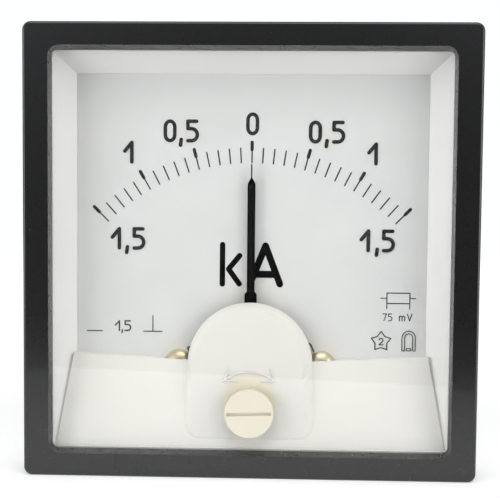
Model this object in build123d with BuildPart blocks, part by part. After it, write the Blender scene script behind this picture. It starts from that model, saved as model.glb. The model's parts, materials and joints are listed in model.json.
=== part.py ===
"""Square panel-mounting moving-coil galvanometer with a centre-zero scale.

Millimetres. The front faces -Y and +Z is up. The origin is the centre of the panel cut-out, in the plane
of the bezel's rear face, so everything at negative Y stands in front of the panel.
"""
import os
from math import cos, radians, sin

from build123d import *

os.makedirs("parts", exist_ok=True)

# Bezel, window and case
FRONT = 80.0
FRONT_CORNER = 1.5
FRONT_EDGE = 0.5
BEZEL_Y = -8.0
LIP = 2.0
OPENING = (71.0, 71.8)
OPENING_BEVEL = (70.6, 70.8)
OPENING_CORNER = (2.0, 1.3)
BEZEL_INSIDE_CORNER = 1.2
BODY = 76.0
BODY_CORNER = 1.5
BODY_PLAY = 0.4
WINDOW_T = 1.5
WINDOW_CORNER = 1.0
WINDOW_BACK_Y = BEZEL_Y + LIP + WINDOW_T
REAR_BODY = 72.0
REAR_CORNER = 3.0
BACK_EDGE = 1.2
STEP_Y = 6.0
CASE_BACK_Y = 30.0
CASE_WALL = 1.8
BACK_WALL = 2.0
FUNNEL_MOUTH = 70.8
FUNNEL_END = 63.7
LEDGE = 58.0
LEDGE_T = 2.7
CAVITY_CORNER = 1.5
POST_HOLE_DEPTH = 6.0
SIGN = (4.0, 0.9, 0.4)
SIGN_ABOVE_TERMINAL = 10.0
RAIL = (2.0, 1.8)
RAIL_Y = 17.0

# Dial and the movement's axis
DIAL_Y = -0.5
DIAL_T = 0.8
DIAL_PLAY = 0.02
DIAL_BACK_Y = DIAL_Y + DIAL_T
AXIS_Z = -20.9
DIAL_HOLE_R = 10.4
DIAL_SCREW = (13.0, -20.65)
DIAL_SCREW_R = 1.0
DIAL_SCREW_HEAD = (2.5, 1.1)
DIAL_SCREW_SLOT = 0.5
DIAL_SCREW_END_Y = 9.6

# Front shield: the sloping apron and the dome over the pointer's root
DOME_FRONT_Y = -4.2
DOME_R = 11.3
DOME_Z = -20.5
DOME_SIDE = ((11.3, -21.5), (12.2, -31.0), (12.2, -35.1))
DOME_WALL = 1.0
DOME_SKIN = 0.8
DOME_EDGE = 1.8
DOME_CORNER = 3.4
POINTER_SLOT_Y = -2.6
APRON_TOP = (-2.0, -18.9)
APRON_FOOT = (-4.35, -35.2)
APRON_DIP = 0.95
APRON_SIDE = (32.1, 35.8)
APRON_WALL = (1.1, 1.9, 1.0)
SHIELD_SIDE_PLAY = 0.1
DOME_HOLLOW = ((9.6, -21.5), (10.2, -32.4))
POINTER_SLOT = (30.0, 12.2)
POINTER_SLOT_Z = -13.1
SCREW_HOLLOW = (0.2, 1.3)
THROUGH = 10.0
SHIELD_SHAFT_HOLE_R = 2.75
STOP_WIRE_R = 0.15

# Zero corrector
CORRECTOR_Z = -28.6
CORRECTOR_HEAD_R = 4.4
CORRECTOR_HEAD_Y = (-7.3, -6.1)
CORRECTOR_SLOT = (7.9, 0.5, 0.6)
CORRECTOR_SLOT_TILT = -1.9
CORRECTOR_R = 3.0
CLIP_R = (2.4, 3.8)
CLIP_Y = (-4.45, -4.27)
CLIP_MOUTH = (1.6, 3.0)
CORRECTOR_SHOULDER_Y = -4.47
CORRECTOR_END_Y = -3.0
CORRECTOR_PIN_END_Y = -0.2
ECCENTRIC = 1.0
PIN_R = 0.5
FORK_PLAY = 0.12
REGULATOR_Y = (-0.6, 0.1)
REGULATOR_HUB_R = 4.0
REGULATOR_ARM_W = 3.2
REGULATOR_ARM_PAST_PIN = 1.5
FORK_BOTTOM = 0.8
FORK_LENGTH = 2.8
SPRING_STUD_R = 0.35
SPRING_STUD_REACH = 5.0
SPRING_GAP = 0.4
FIT = 0.05

# Movement, from front to back along Y
BRIDGE = (31.0, 6.0, 1.8)
BRIDGE_BACK_Y = DIAL_BACK_Y + BRIDGE[2]
BRIDGE_END_R = 1.5
REAR_TONGUE = (2.4, 4.6, 4.0)
REAR_SPRING_LUG = (0.4, 1.9, 5.4)
REAR_BRIDGE_SCREW = (1.7, 1.0, 0.4)
BRIDGE_THREAD_DEPTH = 1.5
BOSS_R = 2.5
BOSS_Y = -0.9
JEWEL_SCREW_R = 1.25
JEWEL_R = 0.7
JEWEL_T = 0.7
JEWEL_CUP = 0.45
JEWEL_PLAY = 0.03
JEWEL_SCREW_SLOT = (0.4, 0.6)
PIVOT_R = 0.22
STAFF_R = 0.45
STAFF_FOOT = (2.0, 0.25)
PIVOT_TIP = 0.05
YOKE_Y = (6.6, 16.4)
YOKE_R = 15.5
YOKE_FLATS = 25.2
YOKE_BORE_R = 10.0
CORE_R = 7.5
BASE_BACK_Y = 18.4
BASE = (48.0, 25.6)
BASE_SCREW = (20.0, 9.5)
POST_R = 3.0
REAR_BRIDGE_Y = 20.9
REAR_BRIDGE_BACK_Y = REAR_BRIDGE_Y + BRIDGE[2]
PILLAR_R = 2.0
BRIDGE_SCREW_R = 0.8
BASE_SCREW_R = 1.0

# Moving coil and pointer
COIL_Y = 11.5
COIL_INSIDE = (15.9, 10.8)
FORMER_T = 0.35
WINDING_T = 0.9
FORMER_W = 5.0
WINDING_W = 4.4
COIL_FRONT_Y = COIL_Y - COIL_INSIDE[1] / 2 - FORMER_T - WINDING_T
COIL_REAR_Y = COIL_Y + COIL_INSIDE[1] / 2 + FORMER_T + WINDING_T
HUB_Y = (3.85, 4.55)
POINTER_Y = (-2.2, -1.5)
CRANK_R = (9.4, 10.0)
POINTER_BASE_Z = -7.3
SHOULDER_Z = (12.15, 13.05)
TIP_Z = 15.65
BLADE_W = 1.4
ROOT_W = 2.2
NEEDLE_W = 0.22

# Terminals, resistor and panel clamps
TERMINAL = (18.0, 2.0)
STUD_R = 2.0
STUD_GROOVE_R = 1.75
STUD_GROOVE_Y = (36.9, 37.6)
STUD_END_Y = 41.5
STUD_HEAD_Y = (25.0, 27.4)
STUD_CHAMFER = 0.5
TAG_T = 0.6
TAG_HOLE_R = 0.7
TAG_HOLE_REACH = 8.6
TAG_RING_R = 3.6
TAG_STRAP = (9.0, 3.2, 4.5)
NUT_AF = 7.0
NUT_CHAMFER = 0.3
STUD_NUT_T = 2.4
WASHER_R = 4.5
WASHER_Y = (32.7, 33.5)
TERMINAL_NUT_Y = (33.6, 36.8)
RESISTOR_Z = 18.0
BOBBIN_R = (2.5, 4.6, 5.5)
BOBBIN_Y = (19.0, 20.0, 27.0, 28.0)
WIRE_R = 0.4
CLAMP_PLATE = (1.4, 14.0, 12.0)
CLAMP_EAR = (7.8, 2.0, 9.0)
CLAMP_EAR_BACK_Y = 26.0
CLAMP_SCREW_X = 40.4
CLAMP_SCREW_R = 1.5
CLAMP_NECK_R = 1.2
CLAMP_HEAD_R = 2.9
CLAMP_HEAD_Y = (33.0, 35.4)
CLAMP_FOOT = (4.4, 8.0)
CLAMP_FOOT_Y = (8.0, 11.5)
CLAMP_FOOT_CORNER = 0.8
CLAMP_NECK_DEPTH = 2.0
CLAMP_NECK_GAP = 0.1
CLAMP_HEAD_EDGE = 0.5
CLAMP_HEAD_SLOT = (1.8, 0.8)
SIDES = {"left": -1, "right": 1}
POLES = {"negative": -1, "positive": 1}


def face_at(y):
    """Sketch plane square to Y at this depth; its sketches extrude toward the front."""
    return Plane.XZ.offset(-y)


def looking_front(x, y, z):
    """Place whose own Z axis points to the front, for screws driven from the front."""
    return Plane(origin=(x, y, z), x_dir=(1, 0, 0), z_dir=(0, -1, 0))


def looking_back(x, y, z):
    """Place whose own Z axis points to the back, for screws driven from the back."""
    return Plane(origin=(x, y, z), x_dir=(-1, 0, 0), z_dir=(0, 1, 0))


def round_screw(head_r, head_h, shank_r, shank_length, slot):
    """A slotted round-head screw: seat at the origin, head along +Z."""
    with BuildPart() as screw:
        with BuildSketch(Plane.XZ):
            with BuildLine():
                Line((0, -shank_length), (0, head_h))
                ThreePointArc((0, head_h), (head_r * 0.74, head_h * 0.66), (head_r, 0))
                Polyline((head_r, 0), (shank_r, 0), (shank_r, -shank_length), (0, -shank_length))
            make_face()
        revolve(axis=Axis.Z)
        with Locations((0, 0, head_h)):
            Box(3 * head_r, slot, head_h, mode=Mode.SUBTRACT)
    return screw.part


def disc(outer_r, inner_r, y_front, y_back, z):
    """A round piece or washer on a Y axis through x = 0."""
    with BuildPart() as piece:
        with BuildSketch(face_at(y_back)):
            with Locations((0, z)):
                Circle(outer_r)
                if inner_r:
                    Circle(inner_r, mode=Mode.SUBTRACT)
        extrude(amount=y_back - y_front)
    return piece.part


def hex_nut(across_flats, bore_r, y_front, y_back, x, z):
    """A hexagon nut on a Y axis, its corners turned off at both ends."""
    with BuildPart() as nut:
        with BuildSketch(face_at(y_back)):
            with Locations((x, z)):
                Circle(across_flats / 2 / cos(radians(30)))
        extrude(amount=y_back - y_front)
        chamfer(nut.edges().filter_by(GeomType.CIRCLE), NUT_CHAMFER)
        with BuildSketch(face_at(y_back)):
            with Locations((x, z)):
                RegularPolygon(across_flats / 2, 6, major_radius=False)
                Circle(bore_r, mode=Mode.SUBTRACT)
        extrude(amount=y_back - y_front, mode=Mode.INTERSECT)
    return nut.part


def hairspring(y, start_angle):
    """A flat spiral of joined half-circles round the movement's axis."""
    pitch = 0.8
    inner_r = 1.4
    half_turns = 9
    with BuildPart() as spring:
        with BuildLine(Plane(origin=(0, y, AXIS_Z), x_dir=(1, 0, 0), z_dir=(0, -1, 0))) as path:
            right = inner_r
            for i in range(half_turns):
                radius = inner_r + i * pitch / 2
                centre = right - radius if i % 2 == 0 else right + radius
                CenterArc((centre, 0), radius, 180 * (i % 2), 180)
                right = right - 2 * radius if i % 2 == 0 else right + 2 * radius
        with BuildSketch(Plane(path.line @ 0, z_dir=path.line % 0)):
            Rectangle(0.16, 0.34)
        sweep()
    return spring.part.rotate(Axis((0, 0, AXIS_Z), (0, 1, 0)), start_angle)


# ---------------------------------------------------------------- bezel, window, case
with BuildPart() as bezel:
    with BuildSketch(face_at(0)):
        RectangleRounded(FRONT, FRONT, FRONT_CORNER)
    extrude(amount=-BEZEL_Y)
    fillet(bezel.faces().sort_by(Axis.Y)[0].edges(), FRONT_EDGE)
    with BuildSketch(face_at(0)):
        RectangleRounded(BODY + BODY_PLAY, BODY + BODY_PLAY, BEZEL_INSIDE_CORNER)
    extrude(amount=-BEZEL_Y - LIP, mode=Mode.SUBTRACT)
    with BuildSketch(face_at(BEZEL_Y + LIP)):
        RectangleRounded(*OPENING_BEVEL, OPENING_CORNER[1])
    with BuildSketch(face_at(BEZEL_Y)):
        RectangleRounded(*OPENING, OPENING_CORNER[0])
    loft(mode=Mode.SUBTRACT)
bezel.part.label = "bezel"
export_step(bezel.part, "parts/bezel.step")

with BuildPart() as window:
    with BuildSketch(face_at(WINDOW_BACK_Y)):
        RectangleRounded(BODY, BODY, WINDOW_CORNER)
        with Locations((0, CORRECTOR_Z)):
            Circle(CORRECTOR_R + FIT, mode=Mode.SUBTRACT)
    extrude(amount=WINDOW_T)
window.part.label = "window"
export_step(window.part, "parts/window.step")

with BuildPart() as case:
    with BuildSketch(face_at(STEP_Y)):
        RectangleRounded(BODY, BODY, BODY_CORNER)
    extrude(amount=STEP_Y - WINDOW_BACK_Y)
    with BuildSketch(face_at(CASE_BACK_Y)):
        RectangleRounded(REAR_BODY, REAR_BODY, REAR_CORNER)
    extrude(amount=CASE_BACK_Y - STEP_Y)
    fillet(case.faces().sort_by(Axis.Y)[-1].edges(), BACK_EDGE)
    with BuildSketch(face_at(DIAL_Y)):
        Rectangle(FUNNEL_END, FUNNEL_END)
    with BuildSketch(face_at(WINDOW_BACK_Y)):
        Rectangle(FUNNEL_MOUTH, FUNNEL_MOUTH)
    loft(mode=Mode.SUBTRACT)
    with BuildSketch(face_at(DIAL_BACK_Y)):
        Rectangle(FUNNEL_END, FUNNEL_END)
    extrude(amount=DIAL_T, mode=Mode.SUBTRACT)
    with BuildSketch(face_at(DIAL_BACK_Y + LEDGE_T)):
        RectangleRounded(LEDGE, LEDGE, OPENING_CORNER[0])
    extrude(amount=LEDGE_T, mode=Mode.SUBTRACT)
    cavity = REAR_BODY - 2 * CASE_WALL
    with BuildSketch(face_at(CASE_BACK_Y - BACK_WALL)):
        RectangleRounded(cavity, cavity, CAVITY_CORNER)
    extrude(amount=CASE_BACK_Y - BACK_WALL - DIAL_BACK_Y - LEDGE_T, mode=Mode.SUBTRACT)
    # posts that carry the movement base
    with BuildSketch(face_at(CASE_BACK_Y - BACK_WALL)):
        with Locations((0, AXIS_Z)):
            with GridLocations(2 * BASE_SCREW[0], 2 * BASE_SCREW[1], 2, 2):
                Circle(POST_R)
    extrude(amount=CASE_BACK_Y - BACK_WALL - BASE_BACK_Y)
    with BuildSketch(face_at(BASE_BACK_Y + POST_HOLE_DEPTH)):
        with Locations((0, AXIS_Z)):
            with GridLocations(2 * BASE_SCREW[0], 2 * BASE_SCREW[1], 2, 2):
                Circle(BASE_SCREW_R)
    extrude(amount=POST_HOLE_DEPTH, mode=Mode.SUBTRACT)
    # holes for the terminal studs, and a raised plus and minus beside them
    with BuildSketch(face_at(CASE_BACK_Y)):
        with Locations((-TERMINAL[0], TERMINAL[1]), TERMINAL):
            Circle(STUD_R)
    extrude(amount=BACK_WALL, mode=Mode.SUBTRACT)
    sign_z = TERMINAL[1] + SIGN_ABOVE_TERMINAL
    with BuildSketch(face_at(CASE_BACK_Y + SIGN[2])):
        with Locations((-TERMINAL[0], sign_z), (TERMINAL[0], sign_z)):
            Rectangle(SIGN[0], SIGN[1])
        with Locations((TERMINAL[0], sign_z)):
            Rectangle(SIGN[1], SIGN[0])
    extrude(amount=SIGN[2])
    # rails on both sides that the clamp brackets slide into
    for side in SIDES.values():
        rail_z = (CLAMP_PLATE[2] + RAIL[1]) / 2
        with Locations((side * (REAR_BODY + RAIL[0]) / 2, RAIL_Y, 0)):
            with Locations((0, 0, rail_z), (0, 0, -rail_z)):
                Box(RAIL[0], CLAMP_PLATE[1], RAIL[1])
            with Locations((0, (RAIL[0] - CLAMP_PLATE[1]) / 2, 0)):
                Box(RAIL[0], RAIL[0], CLAMP_PLATE[2])
case.part.label = "case"
export_step(case.part, "parts/case.step")

# ---------------------------------------------------------------- dial, shield and what is seen beside them
with BuildPart() as dial_plate:
    with BuildSketch(face_at(DIAL_BACK_Y)):
        Rectangle(FUNNEL_END - 2 * DIAL_PLAY, FUNNEL_END - 2 * DIAL_PLAY)
        with Locations((0, AXIS_Z)):
            Circle(DIAL_HOLE_R, mode=Mode.SUBTRACT)
        with Locations(DIAL_SCREW, (-DIAL_SCREW[0], DIAL_SCREW[1])):
            Circle(DIAL_SCREW_R, mode=Mode.SUBTRACT)
    extrude(amount=DIAL_T)
dial_plate.part.label = "dial_plate"
export_step(dial_plate.part, "parts/dial_plate.step")

with BuildPart() as dome:
    with BuildSketch(face_at(DIAL_Y)):
        Polygon(*[(-x, z) for x, z in DOME_SIDE], *reversed(DOME_SIDE), align=None)
        with Locations((0, DOME_Z)):
            Circle(DOME_R)
    extrude(amount=DIAL_Y - DOME_FRONT_Y)
    fillet(dome.edges().filter_by(Axis.Y).group_by(Axis.Z)[0], DOME_CORNER)
    fillet(dome.faces().sort_by(Axis.Y)[0].edges(), DOME_EDGE)

with BuildPart() as front_shield:
    with BuildSketch(Plane.YZ.offset(-FRONT / 2)):
        Polygon((DIAL_Y, APRON_TOP[1]), APRON_TOP, APRON_FOOT, (DIAL_Y, APRON_FOOT[1]), align=None)
    extrude(amount=FRONT)
    # the slanting top edge on both sides of the dome
    with BuildSketch(face_at(DIAL_Y)):
        top, dip, foot = APRON_TOP[1], APRON_TOP[1] - APRON_DIP, -FRONT / 2
        Polygon((-APRON_SIDE[0], top), (-DOME_R, dip), (DOME_R, dip), (APRON_SIDE[0], top),
                (APRON_SIDE[1], foot), (-APRON_SIDE[1], foot), align=None)
    extrude(amount=THROUGH, mode=Mode.INTERSECT)
    with BuildSketch(Plane.YZ.offset(-FRONT / 2)):
        skin, roof, floor = APRON_WALL
        Polygon((DIAL_Y, APRON_TOP[1] - roof), (APRON_TOP[0] + skin, APRON_TOP[1] - roof),
                (APRON_FOOT[0] + skin, APRON_FOOT[1] + floor), (DIAL_Y, APRON_FOOT[1] + floor), align=None)
    extrude(amount=FRONT, mode=Mode.SUBTRACT)
    add(dome.part)
    # the sides and the foot follow the case's funnel
    with BuildSketch(face_at(DIAL_Y)):
        Rectangle(FUNNEL_END - 2 * SHIELD_SIDE_PLAY, FUNNEL_END)
    with BuildSketch(face_at(WINDOW_BACK_Y)):
        Rectangle(FUNNEL_MOUTH - 2 * SHIELD_SIDE_PLAY, FUNNEL_MOUTH)
    loft(mode=Mode.INTERSECT)
    with BuildSketch(face_at(DIAL_Y)):
        with Locations((0, DOME_Z)):
            Circle(DOME_R - DOME_WALL)
        Polygon(*[(-x, z) for x, z in DOME_HOLLOW], *reversed(DOME_HOLLOW), align=None)
    extrude(amount=DIAL_Y - DOME_FRONT_Y - DOME_SKIN, mode=Mode.SUBTRACT)
    with BuildSketch(face_at(DIAL_Y)):
        with Locations((0, CORRECTOR_Z)):
            Circle(SHIELD_SHAFT_HOLE_R)
    extrude(amount=THROUGH, mode=Mode.SUBTRACT)
    # the gap that the pointer swings in, and the hollows for the dial screws' heads
    with Locations((0, (POINTER_SLOT_Y + DIAL_Y) / 2, POINTER_SLOT_Z)):
        Box(POINTER_SLOT[0], DIAL_Y - POINTER_SLOT_Y, POINTER_SLOT[1], mode=Mode.SUBTRACT)
    with BuildSketch(face_at(DIAL_Y)):
        with Locations(DIAL_SCREW, (-DIAL_SCREW[0], DIAL_SCREW[1])):
            Circle(DIAL_SCREW_HEAD[0] + SCREW_HOLLOW[0])
    extrude(amount=SCREW_HOLLOW[1], mode=Mode.SUBTRACT)
front_shield.part.label = "front_shield"
export_step(front_shield.part, "parts/front_shield.step")

dial_screw = round_screw(*DIAL_SCREW_HEAD, DIAL_SCREW_R, DIAL_SCREW_END_Y - DIAL_Y, DIAL_SCREW_SLOT)
with BuildPart() as dial_screws:
    for side in SIDES.values():
        with Locations(looking_front(side * DIAL_SCREW[0], DIAL_Y, DIAL_SCREW[1])):
            add(dial_screw)
dial_screws.part.label = "dial_screws"
export_step(dial_screws.part, "parts/dial_screws.step")

# each wire starts at a dial screw's head and ends inside the dome, where the pointer's crank meets it
STOP_ROUTES = (
    ((-11.1, -0.75, -18.62), (-11.2, -0.9, -18.35), (-11.5, -1.1, -17.75), (-10.9, -1.1, -17.6),
     (-8.6, -1.1, -16.4)),
    ((11.6, -0.75, -18.3), (11.45, -0.95, -17.95), (10.95, -1.1, -16.85), (10.55, -1.1, -16.68),
     (8.6, -1.1, -16.0)),
)
with BuildPart() as stop_wires:
    for route in STOP_ROUTES:
        with BuildLine() as bent_wire:
            FilletPolyline(*route, radius=0.12)
        with BuildSketch(Plane(bent_wire.line @ 0, z_dir=bent_wire.line % 0)):
            Circle(STOP_WIRE_R)
        sweep(path=bent_wire.line)
stop_wires.part.label = "stop_wires"
export_step(stop_wires.part, "parts/stop_wires.step")

# ---------------------------------------------------------------- fixed parts of the movement
with BuildPart() as front_bridge:
    with BuildSketch(face_at(BRIDGE_BACK_Y)):
        with Locations((0, AXIS_Z)):
            Rectangle(BRIDGE[0], BRIDGE[1])
    extrude(amount=BRIDGE[2])
    fillet(front_bridge.edges().filter_by(Axis.Y), BRIDGE_END_R)
    with BuildSketch(face_at(DIAL_BACK_Y)):
        with Locations((0, AXIS_Z)):
            Circle(BOSS_R)
    extrude(amount=DIAL_BACK_Y - BOSS_Y)
    with BuildSketch(face_at(YOKE_Y[0])):
        with Locations(DIAL_SCREW, (-DIAL_SCREW[0], DIAL_SCREW[1])):
            Circle(PILLAR_R)
    extrude(amount=YOKE_Y[0] - BRIDGE_BACK_Y)
    with BuildSketch(face_at(YOKE_Y[0])):
        with Locations(DIAL_SCREW, (-DIAL_SCREW[0], DIAL_SCREW[1])):
            Circle(DIAL_SCREW_R)
        with Locations((0, AXIS_Z)):
            Circle(JEWEL_SCREW_R)
    extrude(amount=THROUGH, mode=Mode.SUBTRACT)
front_bridge.part.label = "front_bridge"
export_step(front_bridge.part, "parts/front_bridge.step")

with BuildPart() as rear_bridge:
    with BuildSketch(face_at(REAR_BRIDGE_BACK_Y)):
        with Locations((0, AXIS_Z)):
            Rectangle(BRIDGE[0], BRIDGE[1])
        with Locations((0, AXIS_Z - REAR_TONGUE[2])):
            Rectangle(REAR_TONGUE[0], REAR_TONGUE[1])
    extrude(amount=BRIDGE[2])
    with BuildSketch(face_at(REAR_BRIDGE_Y)):
        with Locations((DIAL_SCREW[0], AXIS_Z), (-DIAL_SCREW[0], AXIS_Z)):
            Circle(PILLAR_R)
    extrude(amount=REAR_BRIDGE_Y - BASE_BACK_Y)
    # the lug that holds the rear hairspring's outer end
    with BuildSketch(face_at(REAR_BRIDGE_Y)):
        with Locations((0, AXIS_Z - REAR_SPRING_LUG[2])):
            Circle(REAR_SPRING_LUG[0])
    extrude(amount=REAR_SPRING_LUG[1])
    with BuildSketch(face_at(REAR_BRIDGE_BACK_Y)):
        with Locations((0, AXIS_Z)):
            Circle(JEWEL_SCREW_R)
        with Locations((DIAL_SCREW[0], AXIS_Z), (-DIAL_SCREW[0], AXIS_Z)):
            Circle(BRIDGE_SCREW_R)
    extrude(amount=REAR_BRIDGE_BACK_Y - BASE_BACK_Y, mode=Mode.SUBTRACT)
rear_bridge.part.label = "rear_bridge"
export_step(rear_bridge.part, "parts/rear_bridge.step")

rear_screw_length = REAR_BRIDGE_BACK_Y - BASE_BACK_Y + BRIDGE_THREAD_DEPTH
rear_bridge_screw = round_screw(*REAR_BRIDGE_SCREW[:2], BRIDGE_SCREW_R, rear_screw_length, REAR_BRIDGE_SCREW[2])
with BuildPart() as rear_bridge_screws:
    for side in SIDES.values():
        with Locations(looking_back(side * DIAL_SCREW[0], REAR_BRIDGE_BACK_Y, AXIS_Z)):
            add(rear_bridge_screw)
rear_bridge_screws.part.label = "rear_bridge_screws"
export_step(rear_bridge_screws.part, "parts/rear_bridge_screws.step")

with BuildPart() as movement_base:
    with BuildSketch(face_at(BASE_BACK_Y)):
        with Locations((0, AXIS_Z)):
            RectangleRounded(*BASE, 2.5)
            Circle(YOKE_BORE_R + 0.2, mode=Mode.SUBTRACT)
            with GridLocations(2 * BASE_SCREW[0], 2 * BASE_SCREW[1], 2, 2):
                Circle(BASE_SCREW_R, mode=Mode.SUBTRACT)
        with Locations((DIAL_SCREW[0], AXIS_Z), (-DIAL_SCREW[0], AXIS_Z)):
            Circle(BRIDGE_SCREW_R, mode=Mode.SUBTRACT)
    extrude(amount=BASE_BACK_Y - YOKE_Y[1])
movement_base.part.label = "movement_base"
export_step(movement_base.part, "parts/movement_base.step")

movement_screw = round_screw(2.0, 1.3, BASE_SCREW_R, 7.5, 0.5)
with BuildPart() as movement_screws:
    for side in SIDES.values():
        for level in SIDES.values():
            with Locations(looking_front(side * BASE_SCREW[0], YOKE_Y[1], AXIS_Z + level * BASE_SCREW[1])):
                add(movement_screw)
movement_screws.part.label = "movement_screws"
export_step(movement_screws.part, "parts/movement_screws.step")

with BuildPart() as yoke_ring:
    with BuildSketch(face_at(YOKE_Y[1])):
        with Locations((0, AXIS_Z)):
            Circle(YOKE_R)
            Rectangle(2 * YOKE_R, YOKE_FLATS, mode=Mode.INTERSECT)
            Circle(YOKE_BORE_R, mode=Mode.SUBTRACT)
    extrude(amount=YOKE_Y[1] - YOKE_Y[0])
    with BuildSketch(face_at(DIAL_SCREW_END_Y)):
        with Locations(DIAL_SCREW, (-DIAL_SCREW[0], DIAL_SCREW[1])):
            Circle(DIAL_SCREW_R)
    extrude(amount=DIAL_SCREW_END_Y - YOKE_Y[0], mode=Mode.SUBTRACT)
    with BuildSketch(face_at(YOKE_Y[1])):
        with Locations((DIAL_SCREW[0], AXIS_Z), (-DIAL_SCREW[0], AXIS_Z)):
            Circle(BRIDGE_SCREW_R)
    extrude(amount=1.5, mode=Mode.SUBTRACT)
yoke_ring.part.label = "yoke_ring"
export_step(yoke_ring.part, "parts/yoke_ring.step")

core_magnet = disc(CORE_R, 0, *YOKE_Y, AXIS_Z)
core_magnet.label = "core_magnet"
export_step(core_magnet, "parts/core_magnet.step")

with BuildPart() as core_spacers:
    with BuildSketch(face_at(YOKE_Y[1])):
        with Locations((0, AXIS_Z)):
            Circle(YOKE_BORE_R)
            Rectangle(4.0, 2 * YOKE_BORE_R, mode=Mode.INTERSECT)
            Circle(CORE_R, mode=Mode.SUBTRACT)
    extrude(amount=YOKE_Y[1] - YOKE_Y[0])
core_spacers.part.label = "core_spacers"
export_step(core_spacers.part, "parts/core_spacers.step")


def jewel_screw(name, back_to_front, y_inner, length):
    """A slotted screw with a jewel bearing let into its inner end, on the movement's axis."""
    place = looking_front(0, y_inner, AXIS_Z) if back_to_front else looking_back(0, y_inner, AXIS_Z)
    with BuildPart() as screw:
        with BuildSketch(place):
            Circle(JEWEL_SCREW_R)
        extrude(amount=length)
        with BuildSketch(place):
            Circle(JEWEL_R)
        extrude(amount=JEWEL_T, mode=Mode.SUBTRACT)
        with BuildSketch(place.offset(length - JEWEL_SCREW_SLOT[1])):
            Rectangle(3 * JEWEL_SCREW_R, JEWEL_SCREW_SLOT[0])
        extrude(amount=JEWEL_SCREW_SLOT[1], mode=Mode.SUBTRACT)
    screw.part.label = name + "_jewel_screw"
    export_step(screw.part, f"parts/{name}_jewel_screw.step")
    with BuildPart() as jewel:
        with BuildSketch(place):
            Circle(JEWEL_R)
        extrude(amount=JEWEL_T)
        with BuildSketch(place):
            Circle(PIVOT_R + JEWEL_PLAY)
        extrude(amount=JEWEL_CUP, mode=Mode.SUBTRACT)
    jewel.part.label = name + "_jewel"
    export_step(jewel.part, f"parts/{name}_jewel.step")


jewel_screw("front", True, BRIDGE_BACK_Y + 0.1, 5.1)
jewel_screw("rear", False, REAR_BRIDGE_Y - 0.3, 4.1)

front_lock_nut = hex_nut(5.5, JEWEL_SCREW_R, BOSS_Y - 1.0, BOSS_Y, 0, AXIS_Z)
front_lock_nut.label = "front_lock_nut"
export_step(front_lock_nut, "parts/front_lock_nut.step")

rear_lock_nut = hex_nut(5.0, JEWEL_SCREW_R, REAR_BRIDGE_BACK_Y, REAR_BRIDGE_BACK_Y + 1.0, 0, AXIS_Z)
rear_lock_nut.label = "rear_lock_nut"
export_step(rear_lock_nut, "parts/rear_lock_nut.step")

rear_hairspring = hairspring(REAR_BRIDGE_Y - 1.5, 90)
rear_hairspring.label = "rear_hairspring"
export_step(rear_hairspring, "parts/rear_hairspring.step")

# ---------------------------------------------------------------- zero corrector
with BuildPart() as corrector_screw:
    with BuildSketch(face_at(CORRECTOR_HEAD_Y[1])):
        with Locations((0, CORRECTOR_Z)):
            Circle(CORRECTOR_HEAD_R)
    extrude(amount=CORRECTOR_HEAD_Y[1] - CORRECTOR_HEAD_Y[0])
    fillet(corrector_screw.edges().sort_by(Axis.Y)[0], 0.3)
    with Locations((0, CORRECTOR_HEAD_Y[0] + CORRECTOR_SLOT[1] / 2, CORRECTOR_Z)):
        Box(*CORRECTOR_SLOT, rotation=(0, CORRECTOR_SLOT_TILT, 0), mode=Mode.SUBTRACT)
    with BuildSketch(face_at(CORRECTOR_SHOULDER_Y)):
        with Locations((0, CORRECTOR_Z)):
            Circle(CORRECTOR_R)
    extrude(amount=CORRECTOR_SHOULDER_Y - CORRECTOR_HEAD_Y[1])
    with BuildSketch(face_at(CORRECTOR_END_Y)):
        with Locations((0, CORRECTOR_Z)):
            Circle(CLIP_R[0])
    extrude(amount=CORRECTOR_END_Y - CORRECTOR_SHOULDER_Y)
    with BuildSketch(face_at(CORRECTOR_PIN_END_Y)):
        with Locations((0, CORRECTOR_Z + ECCENTRIC)):
            Circle(PIN_R)
    extrude(amount=CORRECTOR_PIN_END_Y - CORRECTOR_END_Y)
corrector_screw.part.label = "corrector_screw"
export_step(corrector_screw.part, "parts/corrector_screw.step")

with BuildPart() as corrector_clip:
    with BuildSketch(face_at(CLIP_Y[1])):
        with Locations((0, CORRECTOR_Z)):
            Circle(CLIP_R[1])
            Circle(CLIP_R[0], mode=Mode.SUBTRACT)
        with Locations((0, CORRECTOR_Z - CLIP_MOUTH[1])):
            Rectangle(*CLIP_MOUTH, mode=Mode.SUBTRACT)
    extrude(amount=CLIP_Y[1] - CLIP_Y[0])
corrector_clip.part.label = "corrector_clip"
export_step(corrector_clip.part, "parts/corrector_clip.step")

with BuildPart() as regulator_arm:
    pin_z = CORRECTOR_Z + ECCENTRIC
    arm_end = pin_z - REGULATOR_ARM_PAST_PIN
    with BuildSketch(face_at(REGULATOR_Y[1])):
        with Locations((0, AXIS_Z)):
            Circle(REGULATOR_HUB_R)
        with Locations((0, (AXIS_Z + arm_end) / 2)):
            Rectangle(REGULATOR_ARM_W, AXIS_Z - arm_end)
        with Locations((0, AXIS_Z)):
            Circle(BOSS_R + FIT, mode=Mode.SUBTRACT)
        with Locations((0, pin_z + FORK_BOTTOM - FORK_LENGTH / 2)):
            Rectangle(2 * (PIN_R + FORK_PLAY), FORK_LENGTH, mode=Mode.SUBTRACT)
    extrude(amount=REGULATOR_Y[1] - REGULATOR_Y[0])
    # the stud that the front hairspring's outer end is soldered to
    with BuildSketch(face_at(HUB_Y[0] - SPRING_GAP)):
        with Locations((0, AXIS_Z - SPRING_STUD_REACH)):
            Circle(SPRING_STUD_R)
    extrude(amount=HUB_Y[0] - SPRING_GAP - REGULATOR_Y[1])
regulator_arm.part.label = "regulator_arm"
export_step(regulator_arm.part, "parts/regulator_arm.step")

front_hairspring = hairspring(HUB_Y[0] - 0.75, 90)
front_hairspring.label = "front_hairspring"
export_step(front_hairspring, "parts/front_hairspring.step")

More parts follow.
